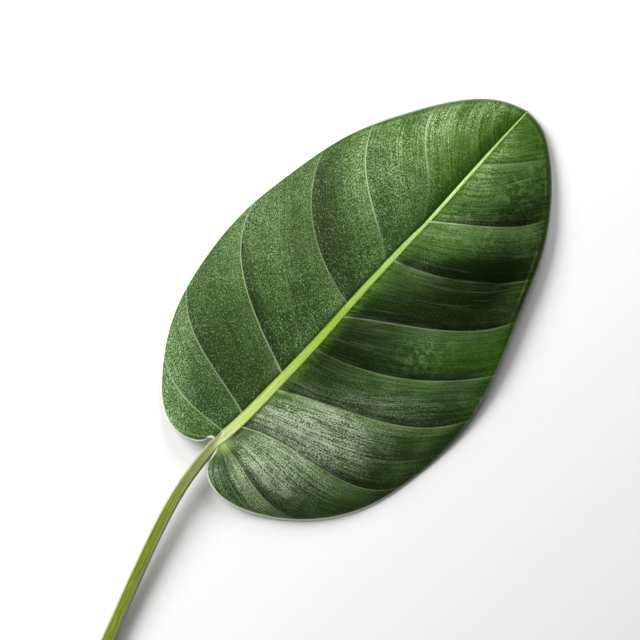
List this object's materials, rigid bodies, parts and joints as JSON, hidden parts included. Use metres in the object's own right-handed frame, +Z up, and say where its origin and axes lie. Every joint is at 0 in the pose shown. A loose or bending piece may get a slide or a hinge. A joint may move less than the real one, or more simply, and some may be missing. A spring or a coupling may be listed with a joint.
{
  "type": "philodendron leaf",
  "caption": "Cut heart-shaped evergreen leaf with an entire blade, pale midrib and long round stalk, lying face up.",
  "frame": {"origin": "middle of the leaf's bounding box at its base, on the surface the leaf lies on", "axes": "+Y along the midrib from the stalk towards the tip, +X to the leaf's right seen from above with the tip ahead, +Z up out of the face"},
  "size_m": [0.1656, 0.4118, 0.0234],
  "materials": {
    "leaf": "satin"
  },
  "bodies": {
    "root": {"leaf": "leaf"}
  },
  "joints": []
}
